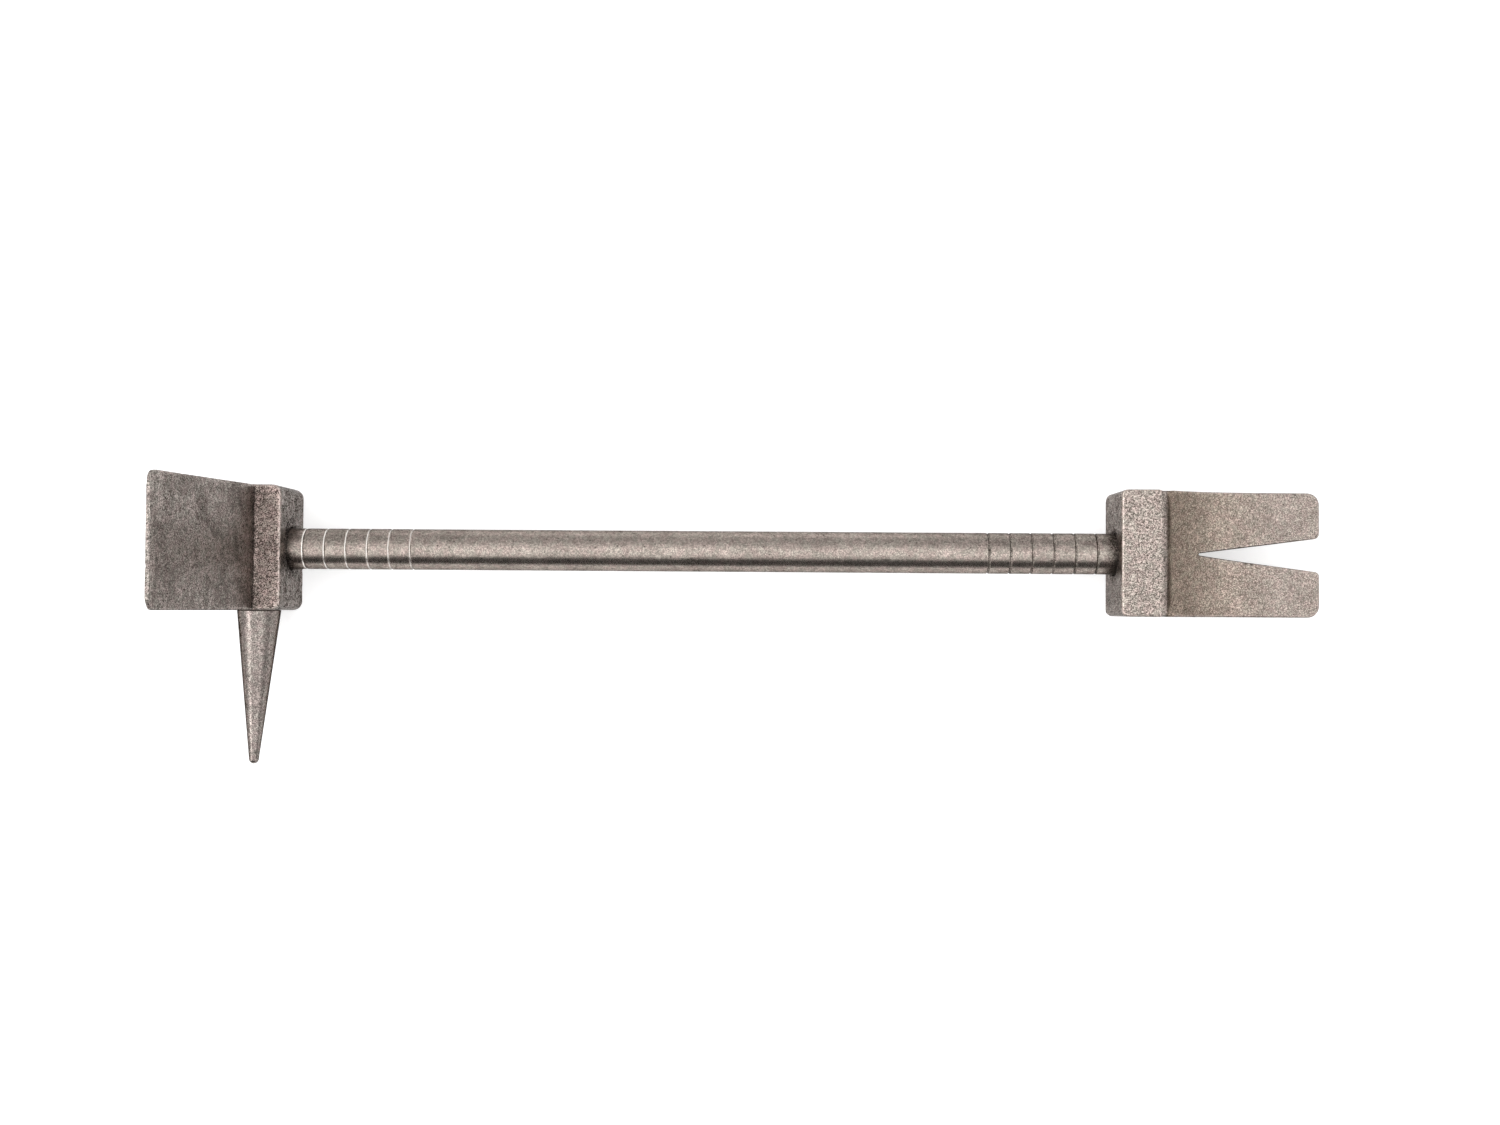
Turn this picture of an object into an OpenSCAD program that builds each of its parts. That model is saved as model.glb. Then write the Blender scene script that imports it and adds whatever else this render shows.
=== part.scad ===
// Pocket halligan bar in tumbled titanium.
// A grooved round shaft joins an adze head, which also carries the pike, to a forked pry head.
// Origin: centre of the adze block's underside, under the crossing of shaft and pike.
// +X runs along the shaft to the fork, +Y points away from the pike, +Z is up along the adze.

/* [Shaft] */
// Diameter of the round shaft
shaft_d = 6.35; // [6:0.05:7]
// Length of shaft seen between the two heads
shaft_span = 127.5; // [90:0.5:160]
// Grooves in each decorative group
groove_count = 6; // [1:1:10]
// Centre distance of neighbouring grooves
groove_pitch = 3.32; // [2:0.02:5]
// Width of a groove at the surface
groove_w = 0.42; // [0.1:0.02:0.6]
// Depth of a groove
groove_h = 0.15; // [0.05:0.01:0.3]
// Distance from the adze block to its nearest groove
adze_groove_gap = 2.38; // [1:0.01:6]
// Distance from the fork block to its nearest groove
fork_groove_gap = 2.9; // [1:0.01:6]

/* [Head blocks] */
// Height of both head blocks
block_h = 12.7; // [11:0.1:14]
// Bevel on the blocks' other edges
edge_bevel = 0.4; // [0.1:0.05:0.6]

/* [Adze head] */
// Width of the adze head, from side to side
adze_w = 19.2; // [18:0.1:22]
// Length of the adze block along the shaft
adze_block_l = 10; // [9:0.1:12]
// Height of the adze's tip above the underside
adze_tip_z = 41; // [30:0.5:45]
// Radius of the adze block's upright corners beside the shaft
adze_corner_r = 1.4; // [0.5:0.1:2]
// Thickness of the blade where it leaves the block
adze_root_t = 6.05; // [4:0.05:7]
// Thickness of the blade at its tip
adze_tip_t = 0.65; // [0.5:0.05:2]
// Bevel on the back of the blade's tip
adze_tip_bevel = 0.25; // [0.1:0.05:0.4]
// Radius of the tip's two corners
adze_tip_r = 1.9; // [0.5:0.1:3]

/* [Pike] */
// Diameter of the pike where it leaves the block
pike_base_d = 6.65; // [6:0.05:8]
// Diameter of the pike's round tip
pike_tip_d = 1.5; // [1:0.05:3]
// Length of the pike outside the block
pike_l = 23.8; // [15:0.1:35]
// Lean of the pike away from the shaft
pike_lean = 1.2; // [0:0.1:2]

/* [Fork head] */
// Width across the fork head
fork_w = 19.3; // [18:0.1:22]
// Length of the fork head along the shaft
fork_l = 31.8; // [28:0.1:36]
// Radius of the fork block's upright corners beside the shaft
fork_corner_r = 1; // [0.5:0.1:2]
// Length of the block's flat top
fork_top_l = 6.8; // [6:0.1:8]
// Distance along the head where the tines' scooped top levels out
scoop_end = 22.9; // [20:0.1:25]
// Radius of the scoop ground into the top
scoop_r = 27; // [25:0.5:30]
// Length of the short steep ramp between flat top and scoop
ramp_l = 0.6; // [0.4:0.1:3]
// Length of the underside that lies flat
fork_foot_l = 8.5; // [8:0.1:10]
// Thickness of the tines at their tips
tine_tip_t = 1.1; // [0.8:0.1:2]
// Radius of the tines' outer corners
tine_r = 1.8; // [1:0.1:3]
// Distance from the block to the notch's inner point
notch_start = 12.25; // [11:0.05:15]
// Width of the notch at the tines' tips
notch_mouth = 5.2; // [4.6:0.1:6]
// Radius of the tines' inner corners at the notch's mouth
mouth_r = 0.7; // [0.3:0.1:1]

/* [Joints inside the heads] */
// Depth that the shaft enters each head
shaft_entry = 7; // [6:0.1:7.4]
// Countersink where the shaft enters a head
entry_bevel = 0.25; // [0.1:0.05:0.5]
// Diameter of the spigot on the pike
pike_spigot_d = 4.5; // [4:0.1:5]
// Depth that the pike's spigot enters the block
pike_spigot_l = 5; // [4:0.1:5.5]
// Diameter of the lock pins
pin_d = 1.5; // [1:0.1:2]
// Height of the lock pins' hidden ends
pin_top_z = 10.5; // [9.6:0.1:11]
// Depth that the pins' visible ends lie below the underside
pin_recess = 0.15; // [0.1:0.05:0.3]

/* [Hidden] */
$fn = 96;
over = 0.5;                                     // how far cutters reach past a face
axis_z = block_h / 2;                           // height of shaft and pike axes
shaft_x0 = adze_block_l / 2;                    // the shaft leaves the adze block
shaft_x1 = shaft_x0 + shaft_span;               // and enters the fork block
pike_y0 = -adze_w / 2;                          // pike's shoulder against the adze block
shaft_end_bevel = 0.5;                          // lead-in on the shaft's hidden ends
bore_gap = 0.01;                                // radial room between pieces and their bores
bore_bottom_gap = 0.3;                          // air left at the bottom of each blind bore
fork_tip_x = shaft_x1 + fork_l;
scoop_x = shaft_x1 + scoop_end;                 // where the scoop is level, at the axis height
notch_l = fork_l - notch_start;
notch_slope = atan(notch_mouth / 2 / notch_l);  // of the notch's edges to the X axis
adze_pin_x = 1.5;                               // lock pin stations
pike_pin_y = pike_y0 + 2.6;
fork_pin_x = shaft_x1 + 3.6;
titanium = [0.56, 0.53, 0.50];
pin_steel = [0.62, 0.62, 0.62];

ramp_x0 = shaft_x1 + fork_top_l;                // the ramp runs down from the block's flat top
ramp_x1 = ramp_x0 + ramp_l;                     // and meets the scoop here

// Height of the scoop, an arc that levels out at scoop_x
function scoop_z(x) = axis_z + scoop_r - sqrt(pow(scoop_r, 2) - pow(scoop_x - x, 2));

// A rectangle from x = 0, even about the X axis, with one corner radius at each end
module plan_outline(length, width, near_r, far_r) {
    translate([near_r, -width / 2]) square([length - near_r - far_r, width]);
    translate([0, near_r - width / 2]) square([length / 2, width - 2 * near_r]);
    translate([length / 2, far_r - width / 2]) square([length / 2, width - 2 * far_r]);
    for (side = [-1, 1]) {
        translate([near_r, side * (width / 2 - near_r)]) circle(near_r);
        translate([length - far_r, side * (width / 2 - far_r)]) circle(far_r);
    }
}

// A drawing in X and Z, pulled out evenly to both sides of the XZ plane
module along_y(width) {
    rotate([90, 0, 0]) linear_extrude(width, center = true) children();
}

// A drawing in Y and Z, pulled out along X
module along_x(length) {
    rotate([90, 0, 90]) linear_extrude(length) children();
}

// A front view of a head: its width over a height, bevelled below, with round top corners
module head_front(width, height, top_r) {
    b = edge_bevel;
    polygon([[-width / 2 + b, 0], [width / 2 - b, 0], [width / 2, b], [width / 2, height - top_r],
             [-width / 2, height - top_r], [-width / 2, b]]);
    translate([-width / 2 + top_r, height - 2 * top_r]) square([width - 2 * top_r, 2 * top_r]);
    for (side = [-1, 1])
        translate([side * (width / 2 - top_r), height - top_r]) circle(top_r);
}

module adze_side() {
    back = -adze_block_l / 2;
    front = adze_block_l / 2;
    b = edge_bevel;
    polygon([[back + b, 0], [front - b, 0], [front, b], [front, block_h - b], [front - b, block_h],
             [back + adze_root_t, block_h], [back + adze_tip_t, adze_tip_z],
             [back + adze_tip_bevel, adze_tip_z], [back, adze_tip_z - adze_tip_bevel], [back, b]]);
}

module adze_head() {
    color(titanium)
    difference() {
        intersection() {
            along_y(adze_w) adze_side();
            translate([-adze_block_l / 2, 0, 0])
                along_x(adze_block_l) head_front(adze_w, adze_tip_z, adze_tip_r);
            translate([-adze_block_l / 2, 0, 0]) linear_extrude(adze_tip_z)
                plan_outline(adze_block_l, adze_w, edge_bevel, adze_corner_r);
        }
        shaft_bore(shaft_x0, -1);
        pike_place() translate([0, 0, -pike_spigot_l - bore_bottom_gap])
            cylinder(d = pike_spigot_d + 2 * bore_gap, h = pike_spigot_l + bore_bottom_gap + over);
        lock_pin_bore(adze_pin_x, 0);
        lock_pin_bore(0, pike_pin_y);
    }
}

// A blind bore for one end of the shaft, countersunk at the head's face; side is 1 or -1 along X
module shaft_bore(x, side) {
    r = shaft_d / 2 + bore_gap;
    translate([x, 0, axis_z]) rotate([0, side * 90, 0]) rotate_extrude()
        polygon([[0, -over], [r + entry_bevel, -over], [r + entry_bevel, 0], [r, entry_bevel],
                 [r, shaft_entry + bore_bottom_gap], [0, shaft_entry + bore_bottom_gap]]);
}

module lock_pin_bore(x, y) {
    translate([x, y, -over]) cylinder(d = pin_d + 2 * bore_gap, h = pin_top_z + bore_bottom_gap + over);
}

module lock_pin(x, y) {
    translate([x, y, pin_recess]) cylinder(d = pin_d, h = pin_top_z - pin_recess);
}

// The pike's own frame: its shoulder's centre on the block's side, +Z outward along its axis
module pike_place() {
    translate([0, pike_y0, axis_z]) rotate([0, 0, -pike_lean]) rotate([90, 0, 0]) children();
}

module pike() {
    color(titanium)
    difference() {
        union() {
            difference() {
                pike_place() pike_cone();
                translate([-pike_base_d, pike_y0, 0]) cube([2 * pike_base_d, 2 * over, block_h]);
            }
            pike_place() translate([0, 0, -pike_spigot_l])
                cylinder(d = pike_spigot_d, h = pike_spigot_l + over);
        }
        lock_pin_bore(0, pike_pin_y);
    }
}

// The cone and its round tip, begun inside the block so that its shoulder can be cut flush
module pike_cone() {
    tip_r = pike_tip_d / 2;
    base_r = pike_base_d / 2;
    taper = asin((base_r - tip_r) / (pike_l - tip_r));
    rotate_extrude() {
        polygon([[0, -over], [base_r + over * tan(taper), -over],
                 [tip_r * cos(taper), pike_l - tip_r + tip_r * sin(taper)],
                 [0, pike_l - tip_r + tip_r * sin(taper)]]);
        intersection() {
            translate([0, pike_l - tip_r]) circle(tip_r);
            translate([0, pike_l - 2 * tip_r]) square(2 * tip_r);
        }
    }
}

module shaft() {
    r = shaft_d / 2;
    low = -shaft_entry;
    high = shaft_span + shaft_entry;
    near = [for (i = [0 : groove_count - 1]) adze_groove_gap + i * groove_pitch];
    far = [for (i = [groove_count - 1 : -1 : 0]) shaft_span - fork_groove_gap - i * groove_pitch];
    color(titanium)
    difference() {
        translate([shaft_x0, 0, axis_z]) rotate([0, 90, 0]) rotate_extrude()
            polygon([[0, low], [r - shaft_end_bevel, low], [r, low + shaft_end_bevel],
                     for (x = concat(near, far))
                         each [[r, x - groove_w / 2], [r - groove_h, x], [r, x + groove_w / 2]],
                     [r, high - shaft_end_bevel], [r - shaft_end_bevel, high], [0, high]]);
        lock_pin_bore(adze_pin_x, 0);
        lock_pin_bore(fork_pin_x, 0);
    }
}

module fork_side() {
    b = edge_bevel;
    polygon([[shaft_x1 + b, 0], [shaft_x1 + fork_foot_l, 0], [fork_tip_x, axis_z - tine_tip_t],
             [fork_tip_x, axis_z], [scoop_x, axis_z],
             for (i = [1 : 16])
                 let (x = scoop_x + (ramp_x1 - scoop_x) * i / 16)
                 [x, scoop_z(x)],
             [ramp_x0, block_h], [shaft_x1 + b, block_h], [shaft_x1, block_h - b], [shaft_x1, b]]);
}

// Plan view of the fork, with the V notch that parts the two tines
module fork_plan() {
    half = (notch_l + over) * tan(notch_slope);
    difference() {
        translate([shaft_x1, 0]) plan_outline(fork_l, fork_w, fork_corner_r, tine_r);
        polygon([[fork_tip_x - notch_l, 0], [fork_tip_x + over, -half], [fork_tip_x + over, half]]);
        for (side = [-1, 1]) scale([1, side]) mouth_corner();
    }
}

// What a tine's inner corner loses to its radius, drawn for the tine on the +Y side
module mouth_corner() {
    x = fork_tip_x - mouth_r;
    y = (notch_l - mouth_r) * tan(notch_slope) + mouth_r / cos(notch_slope);
    touch = [x + mouth_r * sin(notch_slope), y - mouth_r * cos(notch_slope)];
    difference() {
        polygon([[x, y], touch, [touch[0], touch[1] - over], [fork_tip_x + over, touch[1] - over],
                 [fork_tip_x + over, y]]);
        translate([x, y]) circle(mouth_r);
    }
}

module fork_head() {
    color(titanium)
    difference() {
        intersection() {
            along_y(fork_w) fork_side();
            linear_extrude(block_h) fork_plan();
            translate([shaft_x1, 0, 0]) along_x(fork_l) head_front(fork_w, block_h, edge_bevel);
        }
        shaft_bore(shaft_x1, 1);
        lock_pin_bore(fork_pin_x, 0);
    }
}

module adze_lock_pin() {
    color(pin_steel) lock_pin(adze_pin_x, 0);
}

module pike_lock_pin() {
    color(pin_steel) lock_pin(0, pike_pin_y);
}

module fork_lock_pin() {
    color(pin_steel) lock_pin(fork_pin_x, 0);
}

adze_head();
pike();
shaft();
fork_head();
adze_lock_pin();
pike_lock_pin();
fork_lock_pin();
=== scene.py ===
import math
import random

import bmesh
import bpy
import numpy as np
from mathutils import Matrix, Vector, noise


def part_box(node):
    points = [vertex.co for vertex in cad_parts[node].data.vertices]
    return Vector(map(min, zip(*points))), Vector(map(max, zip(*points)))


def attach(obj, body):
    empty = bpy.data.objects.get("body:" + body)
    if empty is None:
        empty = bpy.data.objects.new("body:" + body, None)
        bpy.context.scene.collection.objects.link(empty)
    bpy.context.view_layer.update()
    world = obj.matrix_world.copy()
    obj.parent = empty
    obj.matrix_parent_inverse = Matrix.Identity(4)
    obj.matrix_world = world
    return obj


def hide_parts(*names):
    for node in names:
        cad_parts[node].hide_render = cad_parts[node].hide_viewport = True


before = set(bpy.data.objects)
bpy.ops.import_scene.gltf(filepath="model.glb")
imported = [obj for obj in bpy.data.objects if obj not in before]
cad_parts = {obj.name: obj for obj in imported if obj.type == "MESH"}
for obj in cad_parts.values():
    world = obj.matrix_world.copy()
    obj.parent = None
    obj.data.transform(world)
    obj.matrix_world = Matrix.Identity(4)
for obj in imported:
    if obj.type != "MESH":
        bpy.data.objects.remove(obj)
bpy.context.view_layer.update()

# Looks of the pocket halligan bar. Every piece is shaped in millimetres in the CAD's frame
# and turned into metres when it is finished.

BODY = "root"
MM = 0.001


def box_mm(node):
    """Lowest and highest corner of a CAD node in millimetres."""
    low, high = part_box(node)
    return low / MM, high / MM


# Sizes in millimetres
ADZE_LOW, ADZE_HIGH = box_mm("adze_head")
FORK_LOW, FORK_HIGH = box_mm("fork_head")
SHAFT_LOW, SHAFT_HIGH = box_mm("shaft")

BLOCK_H = 12.7
AXIS_Z = BLOCK_H / 2
ADZE_ROOT_T = 6.05
ADZE_TIP_T = 0.65
ADZE_TIP_R = 1.9
TIP_BAND = 1.0           # paler worn band along the blade's edge
ADZE_CORNER_R = 1.4
FORK_CORNER_R = 1.0

FORK_TOP_L = 6.8
FORK_RAMP_L = 0.6
FORK_FOOT_L = 8.5
SCOOP_END = 22.9
SCOOP_R = 27.0
TINE_TIP_T = 1.1
TINE_R = 1.8
MOUTH_R = 0.7
NOTCH_START = 12.25
NOTCH_MOUTH = 5.2
NOTCH_CLOSING = 0.5      # the fine remesh closes this much of the notch's narrow end

SHAFT_D = SHAFT_HIGH.y - SHAFT_LOW.y
HALO = 1.9               # how far the painted shade round a shaft's entry reaches
NICK = (5.0, -3.75, 7.0)     # centre of a small nick in the adze block beside the shaft
SHAFT_ENTRY = ADZE_HIGH.x - SHAFT_LOW.x
SHAFT_END_BEVEL = 0.5
ENTRY_BEVEL = 0.25
BORE_GAP = 0.03          # radial room between pieces and their bores, wider than the CAD's
BORE_END_GAP = 0.3
GROOVE_COUNT = 6
GROOVE_PITCH = 3.32
GROOVE_W = 0.42
GROOVE_H = 0.15
ADZE_GROOVE_GAP = 2.38
FORK_GROOVE_GAP = 2.9

PIKE_BASE_D = 6.65
PIKE_TIP_D = 1.5
PIKE_L = 23.8
PIKE_LEAN = math.radians(1.2)
SPIGOT_D = 4.5
SPIGOT_L = 5.0

PIN_D = 1.5
PIN_TOP_Z = 10.5
PIN_RECESS = 0.15
PINS = {
    "adze_lock_pin": (1.5, 0.0),
    "pike_lock_pin": (0.0, ADZE_LOW.y + 2.6),
    "fork_lock_pin": (FORK_LOW.x + 3.6, 0.0),
}

VOXEL = 0.15             # cell of the heads' fine mesh
ROUNDING_ROUNDS = 9      # smoothing rounds that give the heads' edges their tumbled radius
FORK_ROUNDING = 0.9      # the fork's share of that rounding
RAMP_REPEATS = 16        # further roundings of the fork's ramp only
SHADE_REACH = 10         # steps along the mesh that the painted shade spreads out of a corner
SHADE_FADE = 0.92        # share of the painted shade that is left after each step
WAVE_DEPTH = 0.006       # mean depth of the faint waviness of the shaft and the pike


# ---------------------------------------------------------------- mesh helpers

def new_object(name, mesh):
    obj = bpy.data.objects.new(name, mesh)
    bpy.context.scene.collection.objects.link(obj)
    return obj


def object_from(name, points, faces):
    mesh = bpy.data.meshes.new(name)
    mesh.from_pydata([tuple(p) for p in points], [], faces)
    mesh.validate()
    return new_object(name, mesh)


def apply_modifiers(obj):
    """Puts the result of an object's modifiers in its mesh."""
    graph = bpy.context.evaluated_depsgraph_get()
    graph.update()
    made = bpy.data.meshes.new_from_object(obj.evaluated_get(graph))
    old = obj.data
    obj.modifiers.clear()
    obj.data = made
    bpy.data.meshes.remove(old)


def combine(obj, other, operation):
    """Boolean of obj with other, which is used up."""
    modifier = obj.modifiers.new(operation.lower(), "BOOLEAN")
    modifier.operation = operation
    modifier.solver = "EXACT"
    modifier.object = other
    apply_modifiers(obj)
    remove(other)


def remove(obj):
    mesh = obj.data
    bpy.data.objects.remove(obj)
    bpy.data.meshes.remove(mesh)


def turn_faces_out(mesh):
    shape = bmesh.new()
    shape.from_mesh(mesh)
    bmesh.ops.recalc_face_normals(shape, faces=shape.faces)
    shape.to_mesh(mesh)
    shape.free()


def prism(outline, axis, low, high):
    """A flat outline pulled along X, Y or Z."""
    def place(u, v, w):
        return {"x": (w, u, v), "y": (u, w, v), "z": (u, v, w)}[axis]

    count = len(outline)
    points = [place(u, v, w) for w in (low, high) for u, v in outline]
    faces = [tuple(range(count)), tuple(range(count, 2 * count))]
    faces += [(i, (i + 1) % count, (i + 1) % count + count, i + count) for i in range(count)]
    obj = object_from("prism", points, faces)
    turn_faces_out(obj.data)
    return obj


def lathe(name, rings, segments, place):
    """Closed solid of circles: rings holds (distance, radius), and place puts a point in the frame."""
    points, faces = [], []
    for distance, radius in rings:
        for i in range(segments):
            angle = 2 * math.pi * i / segments
            points.append(place(distance, radius, angle))
    for ring in range(len(rings) - 1):
        start = ring * segments
        for i in range(segments):
            j = (i + 1) % segments
            faces.append((start + i, start + j, start + segments + j, start + segments + i))
    last = (len(rings) - 1) * segments
    faces.append(tuple(range(segments - 1, -1, -1)))
    faces.append(tuple(range(last, last + segments)))
    obj = object_from(name, points, faces)
    turn_faces_out(obj.data)
    return obj


def drill(obj, origin, direction, rings, segments=96):
    """Cuts a turned shape out of obj: rings holds (depth, radius) along direction from origin."""
    turn = Vector(direction).to_track_quat("Z", "X").to_matrix()
    start = Vector(origin)

    def place(distance, radius, angle):
        return start + turn @ Vector((radius * math.cos(angle), radius * math.sin(angle), distance))

    combine(obj, lathe("drill", rings, segments, place), "DIFFERENCE")


def corner_arc(centre, radius, start, end, steps=10):
    """Points of an arc in a flat outline, with its angles in degrees."""
    angles = [math.radians(start + (end - start) * i / steps) for i in range(steps + 1)]
    return [(centre[0] + radius * math.cos(a), centre[1] + radius * math.sin(a)) for a in angles]


def coordinates(mesh):
    found = np.empty(len(mesh.vertices) * 3, np.float32)
    mesh.vertices.foreach_get("co", found)
    return found.reshape(-1, 3).astype(float)


def set_coordinates(mesh, points):
    mesh.vertices.foreach_set("co", points.astype(np.float32).ravel())
    mesh.update()


def normals(mesh):
    found = np.empty(len(mesh.vertices) * 3, np.float32)
    mesh.vertex_normals.foreach_get("vector", found)
    return found.reshape(-1, 3).astype(float)


def edge_pairs(mesh):
    found = np.empty(len(mesh.edges) * 2, np.int32)
    mesh.edges.foreach_get("vertices", found)
    return found.reshape(-1, 2)


def neighbour_mean(values, pairs):
    """Mean of each vertex's neighbours, for a column or for several."""
    count = np.maximum(np.bincount(pairs.ravel(), minlength=len(values)), 1)
    table = values.reshape(len(values), -1)
    mean = np.empty_like(table)
    for k in range(table.shape[1]):
        total = np.bincount(pairs[:, 0], table[pairs[:, 1], k], len(values))
        total += np.bincount(pairs[:, 1], table[pairs[:, 0], k], len(values))
        mean[:, k] = total / count
    return mean.reshape(values.shape)


def smooth(points, pairs, rounds, weight):
    for _ in range(rounds):
        points = points + weight * (neighbour_mean(points, pairs) - points)
    return points


def noise_at(points, scale, offset=0.0):
    """Perlin noise from -1 to 1 at each point."""
    shifted = points * scale + offset
    return np.array([noise.noise(Vector(p)) for p in shifted])


def bend_of(mesh):
    """How sharply the surface bends at each vertex, in 1/mm: above 0 on edges, below 0 in corners."""
    points, pairs = coordinates(mesh), edge_pairs(mesh)
    outward = normals(mesh)
    length = np.linalg.norm(points[pairs[:, 0]] - points[pairs[:, 1]], axis=1)
    spacing = np.bincount(pairs.ravel(), np.repeat(length, 2), len(points))
    spacing /= np.maximum(np.bincount(pairs.ravel(), minlength=len(points)), 1)
    sag = ((points - neighbour_mean(points, pairs)) * outward).sum(1)
    return 4 * sag / np.maximum(spacing, 1e-6) ** 2


def store(mesh, name, values):
    attribute = mesh.attributes.new(name, "FLOAT", "POINT")
    attribute.data.foreach_set("value", values.astype(np.float32))


def mark_wear_and_shade(obj, quiet=None, rubbed=None, extra_shade=None):
    """Stores for the material how exposed and how sheltered each vertex is: exposed edges get wear,
    partly real and partly a painted highlight that is stronger on edges facing up, and sheltered
    corners get painted shade.

    quiet gives the share of the mesh's own bends that counts at each point; rubbed gives wear that is
    there anyway, and the last argument gives painted shade that is put on anyway.
    """
    mesh = obj.data
    pairs, points = edge_pairs(mesh), coordinates(mesh)
    bend = bend_of(mesh)
    if quiet is not None:
        bend = bend * quiet(points)
    exposed = np.clip((bend - 0.9) / 2.0, 0, 1)
    # corners and creases get painted shade, which spreads a little way out of them
    in_shade = np.clip((-bend - 0.3) / 1.5, 0, 1)
    exposed = 0.5 * exposed + 0.5 * neighbour_mean(exposed, pairs)
    # painted highlight: edges that face up, towards the overhead light, get more than edges that face
    # sideways
    exposed *= 0.35 + 0.65 * np.clip((normals(mesh)[:, 2] - 0.4) / 0.35, 0, 1)
    for _ in range(SHADE_REACH):
        in_shade = np.maximum(in_shade * SHADE_FADE, neighbour_mean(in_shade, pairs))
    if rubbed is not None:
        exposed = np.maximum(exposed, rubbed(points))
    if extra_shade is not None:
        in_shade = np.maximum(in_shade, extra_shade(points))
    store(mesh, "wear_and_highlight", exposed)
    store(mesh, "painted_shade", np.clip(in_shade, 0, 1))


def dent(points, outward, centre, radius, depth):
    """Presses a soft round dent."""
    away = np.linalg.norm(points - centre, axis=1) / radius
    pressed = depth * np.clip(1 - away ** 2, 0, 1) ** 2
    return points - outward * pressed[:, None]


def knock_edges(obj, seed, count):
    """Small nicks on the exposed edges, and a faint waviness all over."""
    mesh = obj.data
    draw = random.Random(seed)
    points, outward = coordinates(mesh), normals(mesh)
    bend = np.clip((bend_of(mesh) - 0.4) / 1.6, 0, 1)
    wave = noise_at(points, 0.35, seed)
    ripple = np.clip(noise_at(points, 1.3, seed + 9.5), 0, 1)
    points = points - outward * (0.008 * (1 + wave) + 0.05 * ripple * bend)[:, None]
    rims = np.flatnonzero(bend > 0.6)
    for _ in range(count):
        centre = points[rims[draw.randrange(len(rims))]].copy()
        points = dent(points, outward, centre, draw.uniform(0.25, 0.7), draw.uniform(0.03, 0.11))
    set_coordinates(mesh, points)


def finish_piece(obj, material, slot, *nodes):
    """Turns a piece into metres, gives it its material and puts it in the place of its CAD node."""
    obj.data.transform(Matrix.Scale(MM, 4))
    obj.data.materials.clear()
    obj.data.materials.append(material)
    obj.data.polygons.foreach_set("use_smooth", [True] * len(obj.data.polygons))
    obj.data.update()
    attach(obj, BODY)
    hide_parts(*nodes)
    return obj


def keep_inside(obj, low, high):
    """Holds a piece in its CAD node's own box."""
    points = coordinates(obj.data)
    set_coordinates(obj.data, np.clip(points, np.array(low), np.array(high)))


# ---------------------------------------------------------------- the heads

def fine_mesh(obj):
    """Remakes a piece as one even fine mesh, so that its edges can be smoothed."""
    modifier = obj.modifiers.new("fine", "REMESH")
    modifier.mode = "VOXEL"
    modifier.voxel_size = VOXEL
    modifier.adaptivity = 0
    apply_modifiers(obj)


def round_edges(obj, weight_of):
    """Rounds all edges of a fine mesh; weight_of gives each vertex's share of the rounding."""
    mesh = obj.data
    pairs = edge_pairs(mesh)
    points = coordinates(mesh)
    weight = weight_of(points)[:, None]
    set_coordinates(mesh, smooth(points, pairs, ROUNDING_ROUNDS, 0.5 * weight))


def drill_shaft_bore(obj, face_x, direction):
    """A blind bore with a countersink for one end of the shaft."""
    r = SHAFT_D / 2 + BORE_GAP
    rings = [(-1.0, r + ENTRY_BEVEL), (0.0, r + ENTRY_BEVEL), (ENTRY_BEVEL, r),
             (SHAFT_ENTRY + BORE_END_GAP, r)]
    drill(obj, (face_x, 0, AXIS_Z), (direction, 0, 0), rings)


def drill_pin_bore(obj, name):
    x, y = PINS[name]
    r = PIN_D / 2 + BORE_GAP
    rings = [(-1.0, r), (PIN_TOP_Z + BORE_END_GAP, r)]
    drill(obj, (x, y, 0), (0, 0, 1), rings, 48)


def away_from_shaft(face_x):
    """1 on a head's surface, fading to 0 at the shaft's countersunk entry."""
    def share(points):
        ring = np.hypot(points[:, 1], points[:, 2] - AXIS_Z)
        near = (np.abs(points[:, 0] - face_x) < 0.6) & (ring < SHAFT_D / 2 + 0.7)
        return np.where(near, 0.0, 1.0)
    return share


def shaft_entry_shade(face_x):
    """Painted shade in a shaft's entry and on the head's face round it, fading outward, and in and
    round the small nick beside it.
    """
    def share(points):
        ring = np.hypot(points[:, 1], points[:, 2] - AXIS_Z) - SHAFT_D / 2
        fade = np.clip(1 - (ring - 0.15) / HALO, 0, 1) ** 1.3
        nick = np.clip(1.6 - np.linalg.norm(points - np.array(NICK), axis=1) / 0.4, 0, 1)
        return np.maximum(np.where(np.abs(points[:, 0] - face_x) < 0.5, fade, 0.0), nick)
    return share


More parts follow.
